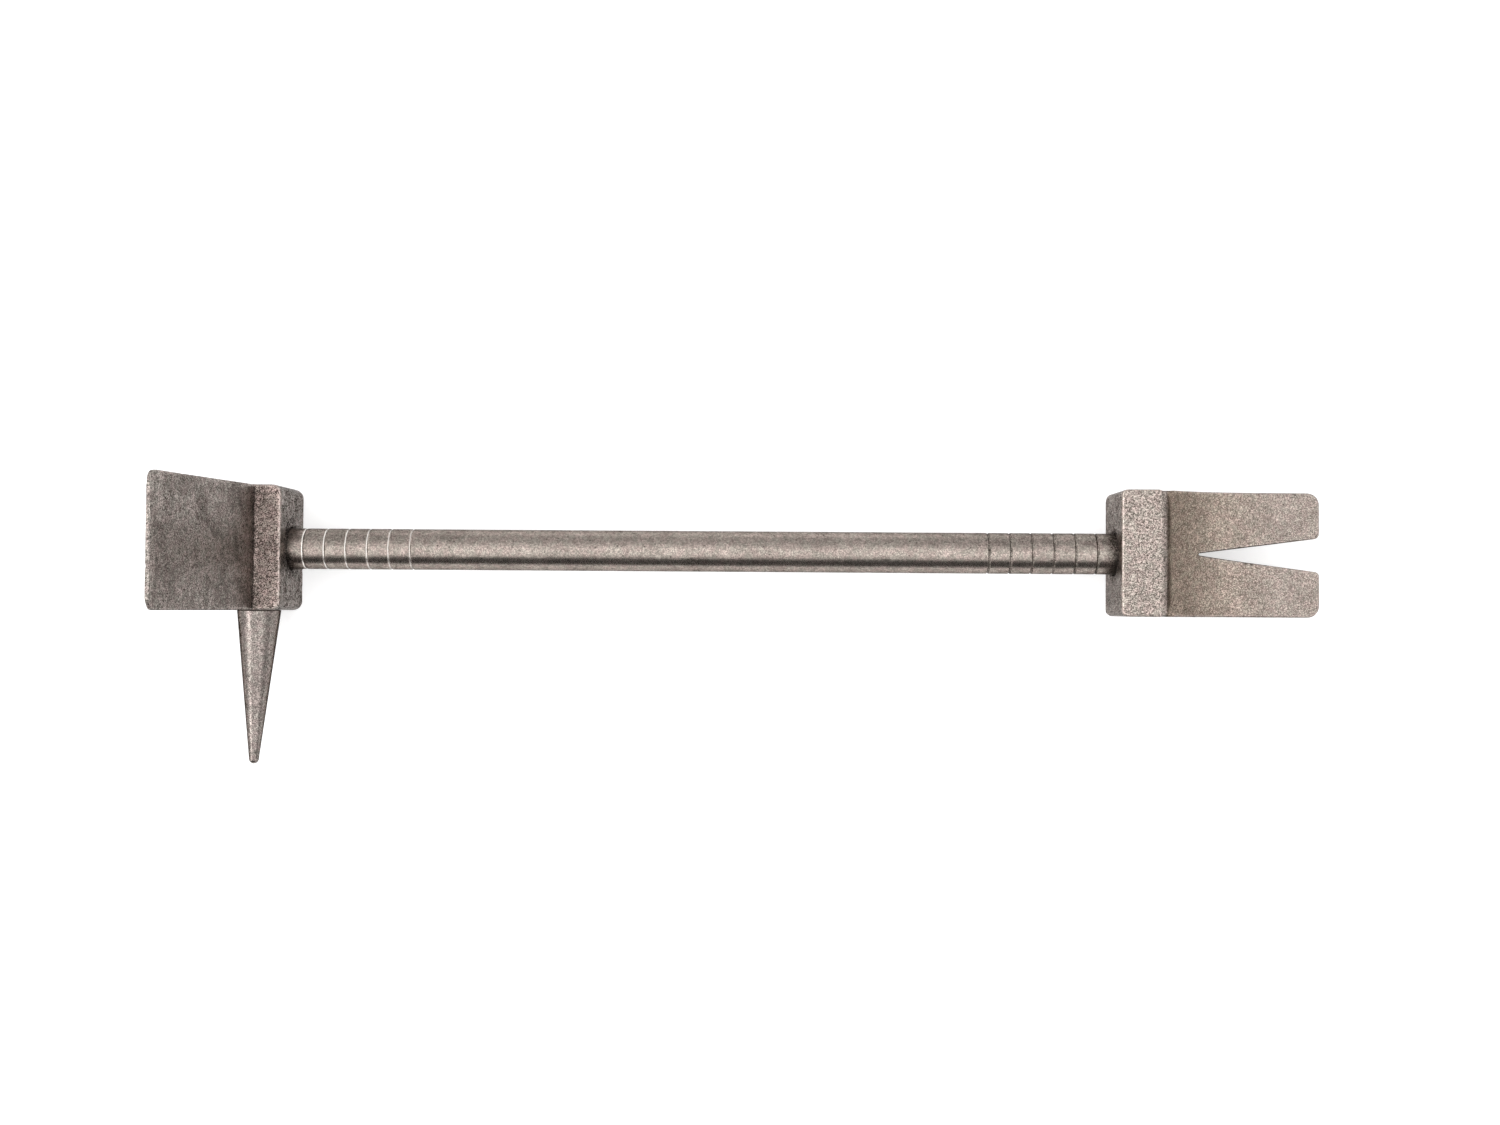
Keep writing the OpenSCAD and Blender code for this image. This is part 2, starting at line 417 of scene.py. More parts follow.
def build_adze_head():
    back, front, half = ADZE_LOW.x, ADZE_HIGH.x, ADZE_HIGH.y
    tip = ADZE_HIGH.z
    side = [(back, 0), (front, 0), (front, BLOCK_H), (back + ADZE_ROOT_T, BLOCK_H),
            (back + ADZE_TIP_T, tip), (back, tip)]
    r = ADZE_TIP_R
    view = [(-half, 0), (half, 0)]
    view += corner_arc((half - r, tip - r), r, 0, 90) + corner_arc((r - half, tip - r), r, 90, 180)
    c = ADZE_CORNER_R
    plan = [(back, -half)] + corner_arc((front - c, c - half), c, -90, 0)
    plan += corner_arc((front - c, half - c), c, 0, 90) + [(back, half)]
    head = prism(side, "y", -half, half)
    head.name = "adze_head_metal"
    combine(head, prism(view, "x", back - 1, front + 1), "INTERSECT")
    combine(head, prism(plan, "z", -1, tip + 1), "INTERSECT")
    fine_mesh(head)
    round_edges(head, lambda p: np.interp(p[:, 2], [tip - 8, tip - 1], [1.0, 0.25]))
    knock_edges(head, 11, 46)
    keep_inside(head, ADZE_LOW, ADZE_HIGH)
    drill_shaft_bore(head, front, -1)
    drill(head, NICK, (-1, 0.35, 0.1), [(-0.5, 0.42), (0.0, 0.36), (0.4, 0.12)], 16)
    lean = Vector((math.sin(PIKE_LEAN), math.cos(PIKE_LEAN), 0))
    spigot_r = SPIGOT_D / 2 + BORE_GAP
    drill(head, Vector((0, -half, AXIS_Z)), lean,
          [(-1.0, spigot_r), (SPIGOT_L + BORE_END_GAP, spigot_r)])
    drill_pin_bore(head, "adze_lock_pin")
    drill_pin_bore(head, "pike_lock_pin")

    def quiet(points):
        return away_from_shaft(front)(points) * np.interp(points[:, 2], [tip - 2, tip - 0.5], [1, 0.3])

    # painted shade round the shaft's entry, and an even faint darkening along the blade's top edge
    def extra_shade(points):
        return np.maximum(shaft_entry_shade(front)(points), np.where(points[:, 2] > tip - 0.3, 0.22, 0.0))

    mark_wear_and_shade(head, quiet, extra_shade=extra_shade,
              rubbed=lambda p: 0.10 * np.clip((p[:, 2] - tip + TIP_BAND) / 0.25, 0, 1))
    points = coordinates(head.data)
    on_top = (points[:, 2] > BLOCK_H - 0.25) & (points[:, 2] < BLOCK_H + 0.25)
    store(head.data, "tarnish", np.where(on_top, 1.0, 0.0))
    return finish_piece(head, tumbled_titanium("adze_titanium", ADZE_FINISH), "titanium_adze",
                        "adze_head")


def scoop_z(x):
    """Height of the scoop that is ground into the fork's top."""
    return AXIS_Z + SCOOP_R - math.sqrt(SCOOP_R ** 2 - (FORK_LOW.x + SCOOP_END - x) ** 2)


def fork_side_outline():
    start, tip = FORK_LOW.x, FORK_HIGH.x
    ramp_end = start + FORK_TOP_L + FORK_RAMP_L
    scoop_x = start + SCOOP_END
    steps = 32
    scoop = [scoop_x + (ramp_end - scoop_x) * i / steps for i in range(steps + 1)]
    return [(start, 0), (start + FORK_FOOT_L, 0), (tip, AXIS_Z - TINE_TIP_T), (tip, AXIS_Z),
            *[(x, scoop_z(x)) for x in scoop], (start + FORK_TOP_L, BLOCK_H), (start, BLOCK_H)]


def fork_plan_outline():
    """The fork from above, its notch with rounded mouth corners."""
    start, tip, half = FORK_LOW.x, FORK_HIGH.x, FORK_HIGH.y
    apex = start + NOTCH_START
    slope = math.atan2(NOTCH_MOUTH / 2, tip - apex)
    c, t, m = FORK_CORNER_R, TINE_R, MOUTH_R
    mouth_x = tip - m
    mouth_y = (mouth_x - apex) * math.tan(slope) + m / math.cos(slope)
    turn = math.degrees(slope)
    upper = corner_arc((mouth_x, mouth_y), m, -90 + turn, 0)
    lower = [(x, -y) for x, y in reversed(upper)]
    outline = corner_arc((start + c, c - half), c, 180, 270)
    outline += corner_arc((tip - t, t - half), t, -90, 0)
    outline += lower + [(apex - NOTCH_CLOSING, 0)] + upper
    outline += corner_arc((tip - t, half - t), t, 0, 90)
    outline += corner_arc((start + c, half - c), c, 90, 180)
    return outline


def build_fork_head():
    half = FORK_HIGH.y
    head = prism(fork_side_outline(), "y", -half - 1, half + 1)
    head.name = "fork_head_metal"
    combine(head, prism(fork_plan_outline(), "z", -1, BLOCK_H + 1), "INTERSECT")
    fine_mesh(head)
    round_edges(head, lambda p: np.full(len(p), FORK_ROUNDING))
    ramp_middle = FORK_LOW.x + FORK_TOP_L + FORK_RAMP_L / 2
    for _ in range(RAMP_REPEATS):
        round_edges(head, lambda p: np.clip(2.4 - 2 * np.abs(p[:, 0] - ramp_middle), 0, 1)
                    * (p[:, 2] > AXIS_Z + 3))
    knock_edges(head, 23, 40)
    keep_inside(head, FORK_LOW, FORK_HIGH)
    drill_shaft_bore(head, FORK_LOW.x, 1)
    drill_pin_bore(head, "fork_lock_pin")
    ramp_from = FORK_LOW.x + FORK_TOP_L

    def quiet(points):
        on_ramp = (points[:, 0] > ramp_from) & (points[:, 0] < ramp_from + 1.6)
        on_ramp &= points[:, 2] > AXIS_Z + 1
        return away_from_shaft(FORK_LOW.x)(points) * np.where(on_ramp, 0.0, 1.0)

    # painted shade round the shaft's entry
    mark_wear_and_shade(head, quiet, extra_shade=shaft_entry_shade(FORK_LOW.x))
    along = coordinates(head.data)[:, 0] - ramp_from
    milled = np.clip(along / 0.6, 0, 1)
    store(head.data, "milled", milled)
    store(head.data, "tarnish", milled * np.clip(1 - (along - 3) / 18, 0.1, 1))
    return finish_piece(head, tumbled_titanium("fork_titanium", FORK_FINISH), "titanium_fork",
                        "fork_head")


# ---------------------------------------------------------------- the shaft, pike and pins

def groove_places():
    """Where along X the grooves of both groups are, from the adze to the fork."""
    near = [ADZE_HIGH.x + ADZE_GROOVE_GAP + i * GROOVE_PITCH for i in range(GROOVE_COUNT)]
    far = [FORK_LOW.x - FORK_GROOVE_GAP - i * GROOVE_PITCH for i in range(GROOVE_COUNT)]
    return sorted(near + far)


def paint_groove_highlights(points):
    """Painted highlight in the grooves next to the adze: a pale colour, weaker in each one further
    along.
    """
    highlight = np.zeros(len(points))
    for i, x in enumerate(groove_places()[:GROOVE_COUNT]):
        inside = np.abs(points[:, 0] - x) < 0.1
        highlight[inside] = 0.8 - 0.09 * i
    return highlight


def shaft_ends_shade(points):
    """Painted shade on the shaft where it goes into the heads, reaching further on its side towards
    the pike, on its side away from the pike near both ends, and in the grooves next to the fork.
    """
    reach = np.where(points[:, 1] < -0.8, 1.7, 0.22)
    stain_and_shade = np.clip(1 - (points[:, 0] - ADZE_HIGH.x) / reach, 0, 1)
    stain_and_shade = np.maximum(stain_and_shade, np.clip(1.1 - (FORK_LOW.x - points[:, 0]) / 1.9, 0, 1))
    # painted shade on the shaft's side away from the pike, fading out from 14 mm to 34 mm from each
    # end
    from_end = np.minimum(points[:, 0] - ADZE_HIGH.x, FORK_LOW.x - points[:, 0])
    upper = np.clip(points[:, 1] / 1.5, 0, 1)
    stain_and_shade = np.maximum(stain_and_shade, 0.26 * upper * np.clip(1 - (from_end - 14) / 20, 0, 1))
    # painted shade: the grooves next to the fork are painted dark
    for x in groove_places()[GROOVE_COUNT:]:
        stain_and_shade[np.abs(points[:, 0] - x) < GROOVE_W / 2 - 0.01] = 0.65
    return stain_and_shade


def shaft_rings():
    """Rings along the shaft, closer together over its grooves."""
    r = SHAFT_D / 2
    low, high = SHAFT_LOW.x, SHAFT_HIGH.x
    grooves = groove_places()
    flank = [-0.27, -0.23, -0.19, -0.14, -0.08, -0.03, 0.03, 0.08, 0.14, 0.19, 0.23, 0.27]
    plain = np.linspace(low + SHAFT_END_BEVEL, high - SHAFT_END_BEVEL, 560)
    places = [x for x in plain if all(abs(x - g) > 0.31 for g in grooves)]
    places += [g + d for g in grooves for d in flank]
    rings = [(low, r - SHAFT_END_BEVEL)]
    for x in sorted(places):
        deep = max(GROOVE_H * (1 - abs(x - g) / (GROOVE_W / 2)) for g in grooves)
        rings.append((x, r - max(deep, 0)))
    return rings + [(high, r - SHAFT_END_BEVEL)]


def build_shaft():
    def place(x, radius, angle):
        return (x, radius * math.cos(angle), AXIS_Z + radius * math.sin(angle))

    rod = lathe("shaft_bar", shaft_rings(), 120, place)
    mesh = rod.data
    draw = random.Random(37)
    points, outward = coordinates(mesh), normals(mesh)
    wave = noise_at(points * np.array([0.16, 0.5, 0.5]), 1.0, 4.0)
    shown = (points[:, 0] > ADZE_HIGH.x) & (points[:, 0] < FORK_LOW.x)
    points = points - outward * (WAVE_DEPTH * (1 + wave) * shown)[:, None]
    for _ in range(150):
        angle = draw.uniform(0, 2 * math.pi)
        x = draw.uniform(ADZE_HIGH.x + 0.6, FORK_LOW.x - 0.6)
        centre = np.array(place(x, SHAFT_D / 2, angle))
        points = dent(points, outward, centre, draw.uniform(0.3, 0.9), draw.uniform(0.008, 0.035))
    set_coordinates(mesh, points)
    drill_pin_bore(rod, "adze_lock_pin")
    drill_pin_bore(rod, "fork_lock_pin")
    store(rod.data, "painted_groove_highlight", paint_groove_highlights(coordinates(rod.data)))
    mark_wear_and_shade(rod, lambda p: np.zeros(len(p)), extra_shade=shaft_ends_shade)
    return finish_piece(rod, tumbled_titanium("shaft_titanium", SHAFT_FINISH), "titanium_shaft",
                        "shaft")


def pike_rings():
    """Rings along the pike's axis, outward from its spigot's hidden end."""
    tip_r, base_r = PIKE_TIP_D / 2, PIKE_BASE_D / 2
    taper = math.asin((base_r - tip_r) / (PIKE_L - tip_r))
    cone_end = PIKE_L - tip_r + tip_r * math.sin(taper)
    cone_r = tip_r * math.cos(taper)
    chamfer = 0.3
    rings = [(-SPIGOT_L, SPIGOT_D / 2 - chamfer), (-SPIGOT_L + chamfer, SPIGOT_D / 2)]
    rings += [(d, SPIGOT_D / 2) for d in (-4, -3, -2, -1, 0)]
    rings += [(0, base_r - 0.35), (0, base_r - 0.12), (0.05, base_r - 0.03)]
    for d in np.linspace(0.12, cone_end, 190):
        rings.append((d, base_r + (cone_r - base_r) * d / cone_end))
    for angle in np.linspace(taper, math.pi / 2, 12)[1:-1]:
        rings.append((PIKE_L - tip_r + tip_r * math.sin(angle), tip_r * math.cos(angle)))
    return rings + [(PIKE_L - 0.002, 0.03)]


def build_pike():
    shoulder_y = ADZE_LOW.y
    out = Vector((-math.sin(PIKE_LEAN), -math.cos(PIKE_LEAN), 0))
    across = Vector((math.cos(PIKE_LEAN), -math.sin(PIKE_LEAN), 0))

    def place(distance, radius, angle):
        point = Vector((0, shoulder_y, AXIS_Z)) + out * distance
        point += across * (radius * math.cos(angle)) + Vector((0, 0, radius * math.sin(angle)))
        if 0 <= distance < 0.15:
            point.y = shoulder_y - distance
        return point

    pike = lathe("pike_spike", pike_rings(), 128, place)
    mesh = pike.data
    draw = random.Random(5)
    points, outward = coordinates(mesh), normals(mesh)
    shown = np.clip((shoulder_y - points[:, 1]) / 0.8, 0, 1)
    wave = noise_at(points, 0.55, 2.0)
    pitted = np.clip(noise_at(points, 1.9, 7.0) - 0.15, 0, 1)
    deep = (WAVE_DEPTH * (1 + wave) + 0.02 * pitted) * shown
    points = points - outward * deep[:, None]
    for _ in range(170):
        angle, distance = draw.uniform(0, 2 * math.pi), draw.uniform(0.8, PIKE_L - 0.8)
        share = distance / PIKE_L
        radius = PIKE_BASE_D / 2 * (1 - share) + PIKE_TIP_D / 2 * share
        centre = np.array(place(distance, radius, angle))
        size = draw.uniform(0.16, 0.34)
        points = dent(points, outward, centre, size, draw.uniform(0.01, 0.03))
    set_coordinates(mesh, points)
    drill_pin_bore(pike, "pike_lock_pin")
    mark_wear_and_shade(pike)
    return finish_piece(pike, tumbled_titanium("pike_titanium", PIKE_FINISH), "titanium_pike",
                        "pike")


def build_pin(name, material):
    """A dowel with a turned chamfer at both ends."""
    x, y = PINS[name]
    r, bevel = PIN_D / 2, 0.16
    low, high = PIN_RECESS, PIN_TOP_Z
    rings = [(low, 0.12), (low, r - bevel - 0.04), (low + 0.01, r - bevel), (low + bevel, r)]
    rings += [(z, r) for z in np.linspace(low + bevel, high - bevel, 20)[1:]]
    rings += [(high - 0.01, r - bevel), (high, r - bevel - 0.04), (high, 0.12)]

    def place(z, radius, angle):
        return (x + radius * math.cos(angle), y + radius * math.sin(angle), z)

    pin = lathe(name + "_steel", rings, 48, place)
    mark_wear_and_shade(pin)
    return finish_piece(pin, material, "pin_steel", name)


# ---------------------------------------------------------------- materials

# Colours are linear reflectances of the metal; the other values are shares of full effect.
FORK_FINISH = dict(colour=(0.268, 0.230, 0.210), grain=0.90, size=6.4, blotch=0.15, rough=0.32,
                   rim=0.42, bump=0.60, pits=0.6, cells=1.5, scratches=0.7, smears=0.06, worn_and_lit=0.9,
                   tarnish=(1.0, 0.94, 0.85), speck=0.0, seed=3.0)
ADZE_FINISH = dict(colour=(0.246, 0.218, 0.204), grain=0.85, size=7.2, blotch=0.15, rough=0.36,
                   rim=0.49, bump=0.26, pits=0.7, cells=1.3, scratches=1.2, smears=0.34, worn_and_lit=1.6,
                   tarnish=(1.0, 0.91, 0.895), speck=0.9, seed=8.0)
SHAFT_FINISH = dict(colour=(0.276, 0.238, 0.216), grain=0.50, size=9.0, blotch=0.15, rough=0.25,
                    rim=0.47, bump=0.20, pits=0.7, cells=1.2, scratches=0.7, smears=0.10, worn_and_lit=0.6,
                    tarnish=(1.0, 1.0, 1.0), speck=0.0, seed=14.0)
PIKE_FINISH = dict(colour=(0.196, 0.171, 0.160), grain=0.70, size=8.0, blotch=0.08, rough=0.16,
                   rim=0.12, bump=0.22, pits=1.8, cells=2.4, scratches=0.3, smears=0.05, worn_and_lit=0.3,
                   tarnish=(1.0, 1.0, 1.0), speck=0.0, seed=21.0)


class Nodes:
    """Short ways to add and link shader nodes in one tree."""

    def __init__(self, tree):
        self.tree = tree
        tree.nodes.clear()

    def add(self, kind, **inputs):
        node = self.tree.nodes.new(kind)
        for name, value in inputs.items():
            self.put(node.inputs[name.replace("_", " ")], value)
        return node

    def put(self, socket, value):
        if isinstance(value, bpy.types.NodeSocket):
            self.tree.links.new(value, socket)
        else:
            socket.default_value = value

    def attribute(self, name):
        node = self.add("ShaderNodeAttribute")
        node.attribute_name = name
        return node.outputs["Fac"]

    def surface(self, shader):
        output = self.add("ShaderNodeOutputMaterial")
        self.tree.links.new(shader.outputs["BSDF"], output.inputs["Surface"])

    def math(self, operation, a, b=0.0, clamp=False):
        node = self.tree.nodes.new("ShaderNodeMath")
        node.operation = operation
        node.use_clamp = clamp
        self.put(node.inputs[0], a)
        self.put(node.inputs[1], b)
        return node.outputs[0]

    def remap(self, value, low, high, to_low, to_high):
        node = self.add("ShaderNodeMapRange", Value=value)
        node.inputs["From Min"].default_value = low
        node.inputs["From Max"].default_value = high
        node.inputs["To Min"].default_value = to_low
        node.inputs["To Max"].default_value = to_high
        node.interpolation_type = "SMOOTHSTEP"
        return node.outputs["Result"]

    def noise(self, where, scale, detail, rough=0.55, distortion=0.0):
        node = self.add("ShaderNodeTexNoise", Vector=where, Scale=scale, Detail=detail,
                        Roughness=rough, Distortion=distortion)
        return node.outputs["Factor" if "Factor" in node.outputs else "Fac"]

    def bent(self, where, scale, amount):
        """The place shifted by a noise, so that cells lose their straight sides."""
        node = self.add("ShaderNodeTexNoise", Vector=where, Scale=scale, Detail=1.0)
        offset = self.tree.nodes.new("ShaderNodeVectorMath")
        offset.operation = "MULTIPLY_ADD"
        self.put(offset.inputs[0], node.outputs["Color"])
        self.put(offset.inputs[1], (amount, amount, amount))
        self.put(offset.inputs[2], where)
        return offset.outputs[0]

    def ramp(self, value, stops):
        """A soft curve through (place from 0 to 1, level) stops."""
        node = self.add("ShaderNodeValToRGB", Fac=value)
        points = node.color_ramp.elements
        while len(points) < len(stops):
            points.new(0.5)
        for point, (place, level) in zip(points, stops):
            point.position = place
            point.color = (level, level, level, 1.0)
        return node.outputs["Color"]

    def mapped(self, where, scale=(1, 1, 1), turn=(0, 0, 0), shift=(0, 0, 0)):
        node = self.add("ShaderNodeMapping", Vector=where, Location=shift, Rotation=turn,
                        Scale=scale)
        return node.outputs["Vector"]

    def mix(self, factor, a, b, blend="MIX"):
        node = self.tree.nodes.new("ShaderNodeMix")
        node.data_type = "RGBA"
        node.blend_type = blend
        self.put(node.inputs["Factor"], factor)
        self.put(node.inputs[6], a)
        self.put(node.inputs[7], b)
        return node.outputs[2]


def new_material(name):
    material = bpy.data.materials.new(name)
    material.use_nodes = True
    return material, Nodes(material.node_tree)


def scratch_lines(nodes, where, turn, scale, fine, seed):
    """Sparse short straight scratches in one direction: 1 on a line, 0 beside it."""
    along = nodes.mapped(where, scale=(scale, scale * fine, scale * fine), turn=turn,
                         shift=(seed, seed * 0.7, seed * 1.3))
    ridge = nodes.noise(along, 1.0, 1.0, 0.4)
    return nodes.remap(ridge, 0.68, 0.74, 0.0, 1.0)


def tumbled_titanium(name, finish):
    """Bare titanium out of a tumbler: fine grain, dark pits, short scratches, bright worn edges that
    also carry a painted highlight, painted shade in corners and round the shaft's entries, and a
    painted highlight in the grooves next to the adze.
    """
    material, nodes = new_material(name)
    seed = finish["seed"]
    place = nodes.add("ShaderNodeTexCoord").outputs["Object"]
    mm = nodes.mapped(place, scale=(1000, 1000, 1000), shift=(seed, -seed, 2 * seed))

    grain = nodes.noise(mm, finish["size"], 2.0, 0.6, 0.4)
    fine = nodes.noise(mm, 15.0, 2.0, 0.6)
    bent = nodes.bent(mm, 3.0, 0.18)
    flakes = nodes.add("ShaderNodeTexVoronoi", Vector=bent, Scale=5.0)
    flake = nodes.add("ShaderNodeSeparateColor", Color=flakes.outputs["Color"]).outputs["Green"]
    blotch = nodes.noise(mm, 0.28, 3.0, 0.55, 0.4)
    drag = nodes.mapped(mm, scale=(0.5, 0.16, 0.3), turn=(0.5, 0.3, 0.2))
    smear = nodes.remap(nodes.noise(drag, 1.0, 5.0, 0.65, 1.2), 0.42, 0.62, 0.0, 1.0)
    cells = nodes.add("ShaderNodeTexVoronoi", Vector=mm, Scale=finish["cells"])
    pit = nodes.remap(cells.outputs["Distance"], 0.10, 0.24, 1.0, 0.0)
    pick = nodes.add("ShaderNodeSeparateColor", Color=cells.outputs["Color"])
    pit = nodes.math("MULTIPLY", pit, nodes.remap(pick.outputs["Red"], 0.55, 0.75, 0.0, 1.0))
    turns = [(0.3, 0.5, 0.7), (1.2, 0.2, 2.2), (0.5, 1.4, 1.1), (2.0, 0.9, 0.2)]
    lines = None
    for i, turn in enumerate(turns):
        line = scratch_lines(nodes, mm, turn, 0.6, 12.0, seed + 5.0 * i)
        lines = line if lines is None else nodes.math("MAXIMUM", lines, line)
    wear_and_highlight = nodes.attribute("wear_and_highlight")
    painted_shade = nodes.attribute("painted_shade")
    milled = nodes.attribute("milled")
    painted_groove_highlight = nodes.attribute("painted_groove_highlight")
    tarnish = nodes.attribute("tarnish")
    worn_and_lit = nodes.math("MULTIPLY", wear_and_highlight, nodes.remap(fine, 0.35, 0.6, 0.3, 1.0))

    swing = nodes.remap(grain, 0.32, 0.68, -finish["grain"], finish["grain"])
    speck = nodes.math("MULTIPLY", tarnish, finish["speck"])
    tone = nodes.math("ADD", nodes.math("MULTIPLY", swing, nodes.math("ADD", speck, 1.0)), 1.0)
    tone = nodes.math("MULTIPLY", tone, nodes.remap(fine, 0.3, 0.7, 0.84, 1.16))
    spread = 0.55 * finish["grain"]
    tone = nodes.math("MULTIPLY", tone, nodes.remap(flake, 0.0, 1.0, 1.0 - spread, 1.0 + spread))
    calm = nodes.math("MULTIPLY", milled, 0.35)
    tone = nodes.math("ADD", tone, nodes.math("MULTIPLY", calm, nodes.math("SUBTRACT", 0.6, tone)))
    patch = nodes.remap(blotch, 0.3, 0.7, 1.0 - finish["blotch"], 1.0 + 0.4 * finish["blotch"])
    tone = nodes.math("MULTIPLY", tone, patch)
    tone = nodes.math("MULTIPLY", tone, nodes.remap(smear, 0.0, 1.0, 1.0, 1.0 - finish["smears"]))
    tone = nodes.math("ADD", tone, nodes.math("MULTIPLY", lines, 0.5 * finish["scratches"]))
    tone = nodes.math("SUBTRACT", tone, nodes.math("MULTIPLY", pit, 0.7 * finish["pits"]))
    plain = tone
    # worn edges lighten the colour: partly real wear, partly painted highlight
    tone = nodes.math("ADD", tone, nodes.math("MULTIPLY", worn_and_lit, finish["worn_and_lit"]))
    # painted shade darkens the corners, the shaft's entries and the grooves next to the fork
    tone = nodes.math("SUBTRACT", tone, nodes.math("MULTIPLY", painted_shade, 0.85))
    shade = nodes.math("MULTIPLY", tone, 0.5, clamp=True)

    colour = finish["colour"]
    dark = tuple(c * 0.12 * t for c, t in zip(colour, (1.0, 0.96, 0.9))) + (1.0,)
    light = tuple(min(c * 1.9, 1.0) for c in colour) + (1.0,)
    base = nodes.mix(shade, dark, light)
    hue = nodes.noise(mm, 0.9, 2.0)
    warm = nodes.mix(nodes.remap(hue, 0.35, 0.65, 0.0, 1.0), (0.97, 1.0, 0.97, 1.0),
                     (1.03, 0.985, 0.98, 1.0))
    base = nodes.mix(1.0, base, warm, "MULTIPLY")
    tarnished = nodes.math("SUBTRACT", tarnish, wear_and_highlight, clamp=True)
    base = nodes.mix(tarnished, base, finish["tarnish"] + (1.0,), "MULTIPLY")
    # painted highlight: a pale bright colour in the grooves next to the adze
    base = nodes.mix(painted_groove_highlight, base, (0.88, 0.84, 0.80, 1.0))
    rim = nodes.math("MULTIPLY", nodes.math("MULTIPLY", plain, finish["rim"]),
                     nodes.math("SUBTRACT", 1.0, wear_and_highlight, clamp=True), clamp=True)
    rim = nodes.add("ShaderNodeCombineColor", Red=rim, Green=rim, Blue=rim)

    rough = nodes.remap(grain, 0.3, 0.7, finish["rough"] + 0.06, finish["rough"] - 0.04)
    rough = nodes.math("ADD", rough, nodes.math("MULTIPLY", painted_shade, 0.2))
    rough = nodes.math("SUBTRACT", rough, nodes.math("MULTIPLY", worn_and_lit, 0.08), clamp=True)

    height = nodes.math("ADD", grain, nodes.math("MULTIPLY", fine, 0.35))
    height = nodes.math("SUBTRACT", height, nodes.math("MULTIPLY", pit, 0.6 * finish["pits"]))
    height = nodes.math("SUBTRACT", height, nodes.math("MULTIPLY", lines, 0.25 * finish["scratches"]))
    bump = nodes.add("ShaderNodeBump", Height=height)
    bump.inputs["Strength"].default_value = finish["bump"]
    bump.inputs["Distance"].default_value = 0.00004

    shader = nodes.add("ShaderNodeBsdfPrincipled", Base_Color=base, Roughness=rough,
                       Normal=bump.outputs["Normal"])
    shader.inputs["Metallic"].default_value = 1.0
    nodes.put(shader.inputs["Specular Tint"], rim.outputs["Color"])
    nodes.surface(shader)
    return material


def pin_steel():
    """Ground dowel steel: fine rings of turning, a little oil staining."""
    material, nodes = new_material("pin_steel")
    place = nodes.add("ShaderNodeTexCoord").outputs["Object"]
    mm = nodes.mapped(place, scale=(1000, 1000, 1000))
    stain_and_shade = nodes.noise(mm, 1.6, 3.0, 0.6)
    fine = nodes.noise(mm, 14.0, 2.0, 0.6)
    base = nodes.mix(nodes.remap(stain_and_shade, 0.3, 0.7, 0.0, 1.0), (0.42, 0.41, 0.40, 1.0),
                     (0.62, 0.61, 0.60, 1.0))
    rough = nodes.remap(fine, 0.3, 0.7, 0.34, 0.22)
    bump = nodes.add("ShaderNodeBump", Height=fine)
    bump.inputs["Strength"].default_value = 0.3
    bump.inputs["Distance"].default_value = 0.00002
    shader = nodes.add("ShaderNodeBsdfPrincipled", Base_Color=base, Roughness=rough,
                       Normal=bump.outputs["Normal"])
    shader.inputs["Metallic"].default_value = 1.0
    nodes.surface(shader)
    return material


def paper_white():
    """The sweep under the object: bright paper with the faintest mottle."""
    material, nodes = new_material("paper")
    place = nodes.add("ShaderNodeTexCoord").outputs["Object"]
    mottle = nodes.noise(nodes.mapped(place, scale=(60, 60, 60)), 1.0, 3.0)
    tint = nodes.mix(nodes.remap(mottle, 0.3, 0.7, 0.0, 1.0), (0.52, 0.52, 0.52, 1.0),
                     (0.54, 0.54, 0.54, 1.0))
    shader = nodes.add("ShaderNodeBsdfPrincipled", Base_Color=tint)
    shader.inputs["Roughness"].default_value = 0.9
    shader.inputs["Specular IOR Level"].default_value = 0.1
    shader.inputs["Emission Color"].default_value = (1, 1, 1, 1)
    shader.inputs["Emission Strength"].default_value = FLOOR_GLOW
    nodes.surface(shader)
    return material


# ---------------------------------------------------------------- stage

FLOOR_GLOW = 0.56
WORLD_LEVEL = 3.9
BACKDROP_LEVEL = 0.95
OVERHEAD = 0.35
# Brightness of the room over the part of a direction across the shaft, from -1 at 0 to 1 at 1,
# and over its part along the shaft
ROOM_ACROSS = [(0.0, 0.07), (0.14, 0.07), (0.20, 0.9), (0.30, 1.0), (0.70, 0.95), (0.86, 0.62),
               (1.0, 0.58)]
ROOM_ALONG = [(0.0, 0.22), (0.02, 0.32), (0.05, 0.42), (0.10, 0.64), (0.15, 1.0), (0.22, 1.0),
              (0.28, 0.60), (0.36, 0.42), (0.50, 0.43), (0.62, 0.45), (0.70, 0.52), (0.77, 0.60),
              (0.84, 0.54), (0.90, 0.36), (0.96, 0.25), (1.0, 0.24)]
# The camera in metres and radians, with its lens and sensor in millimetres
CAMERA_PLACE = (0.0795, -0.00851, 0.26503)
CAMERA_TURN = (0.0265, 0.0122, 0.0071)
CAMERA_LENS = 40.04
CAMERA_SENSOR = 36.0
FLOOR_HALF = 6.0
FLOOR_DROP = 0.00002     # keeps the floor just clear of the heads' undersides


def build_floor():
    half, z = FLOOR_HALF, -FLOOR_DROP
    points = [(-half, -half, z), (half, -half, z), (half, half, z), (-half, half, z)]
    floor = object_from("floor", points, [(0, 1, 2, 3)])
    floor.data.materials.append(paper_white())
    return floor


def softbox(name, place, aim, size, radiance):
    """An area light of even radiance, turned to a point."""
    lamp = bpy.data.lights.new(name, "AREA")
    lamp.shape = "RECTANGLE"
    lamp.size, lamp.size_y = size
    lamp.energy = 4 * radiance * size[0] * size[1]
    obj = bpy.data.objects.new(name, lamp)
    obj.location = place
    obj.rotation_euler = (Vector(aim) - Vector(place)).to_track_quat("-Z", "Y").to_euler()
    obj.visible_camera = False
    bpy.context.scene.collection.objects.link(obj)
    return obj


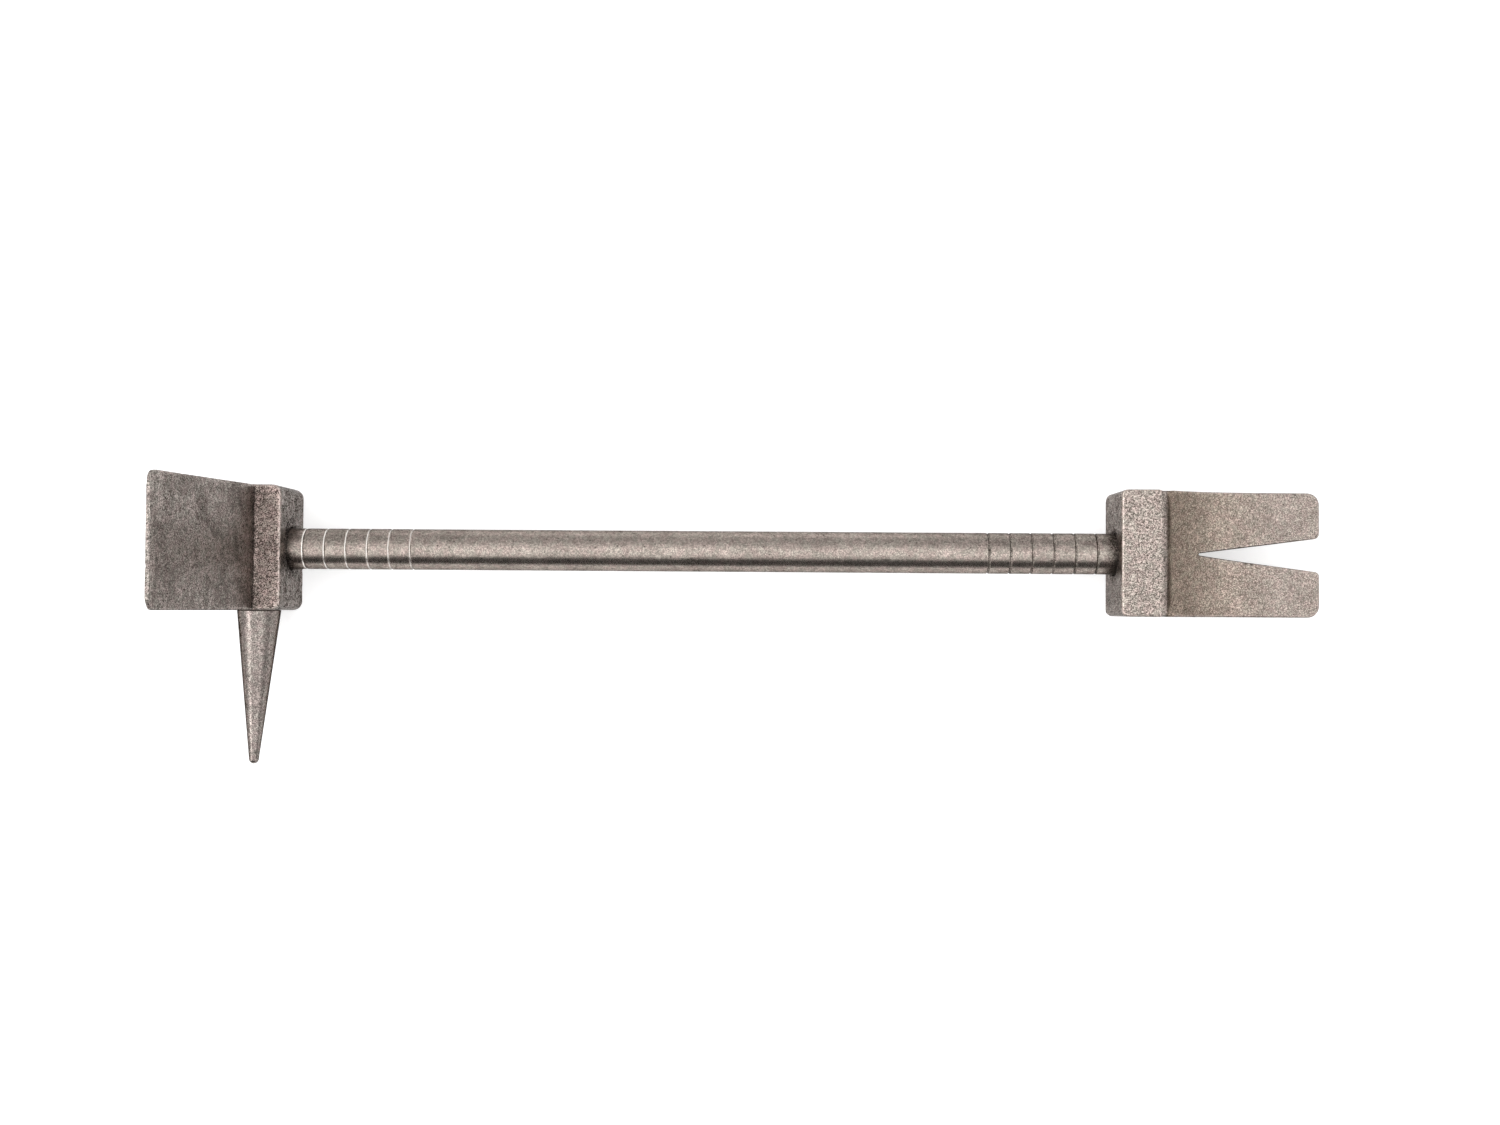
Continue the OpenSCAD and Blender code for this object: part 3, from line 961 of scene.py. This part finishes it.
def build_world():
    """A plain grey room, dimmer on the pike's side, and a pale backdrop where it is seen directly."""
    world = bpy.data.worlds.new("room")
    bpy.context.scene.world = world
    world.use_nodes = True
    nodes = Nodes(world.node_tree)
    direction = nodes.add("ShaderNodeTexCoord").outputs["Generated"]
    part = nodes.add("ShaderNodeSeparateXYZ", Vector=direction)
    across = nodes.math("MULTIPLY_ADD", part.outputs["Y"], 0.5)
    across.node.inputs[2].default_value = 0.5
    along = nodes.math("MULTIPLY_ADD", part.outputs["X"], 0.5)
    along.node.inputs[2].default_value = 0.5
    level = nodes.math("MULTIPLY", nodes.ramp(across, ROOM_ACROSS), nodes.ramp(along, ROOM_ALONG))
    level = nodes.math("MULTIPLY", level, WORLD_LEVEL)
    room = nodes.add("ShaderNodeBackground", Color=(1, 1, 1, 1), Strength=level)
    plain = nodes.add("ShaderNodeBackground", Color=(1, 1, 1, 1), Strength=BACKDROP_LEVEL)
    ray = nodes.add("ShaderNodeLightPath")
    pick = nodes.tree.nodes.new("ShaderNodeMixShader")
    nodes.tree.links.new(ray.outputs["Is Camera Ray"], pick.inputs[0])
    nodes.tree.links.new(room.outputs[0], pick.inputs[1])
    nodes.tree.links.new(plain.outputs[0], pick.inputs[2])
    output = nodes.add("ShaderNodeOutputWorld")
    nodes.tree.links.new(pick.outputs[0], output.inputs["Surface"])


def build_lights():
    centre = (0.08, -0.01, 0.006)
    softbox("overhead", (0.02, -0.03, 0.60), centre, (0.42, 0.50), OVERHEAD)


def build_camera():
    camera = bpy.data.cameras.new("camera")
    camera.lens, camera.sensor_width = CAMERA_LENS, CAMERA_SENSOR
    camera.clip_start, camera.clip_end = 0.01, 20.0
    obj = bpy.data.objects.new("camera", camera)
    obj.location = CAMERA_PLACE
    obj.rotation_euler = CAMERA_TURN
    bpy.context.scene.collection.objects.link(obj)
    bpy.context.scene.camera = obj


build_camera()
build_floor()
build_world()
build_lights()
bpy.context.scene.view_settings.view_transform = "Standard"

build_adze_head()
build_fork_head()
build_shaft()
build_pike()
steel = pin_steel()
for pin_name in PINS:
    build_pin(pin_name, steel)
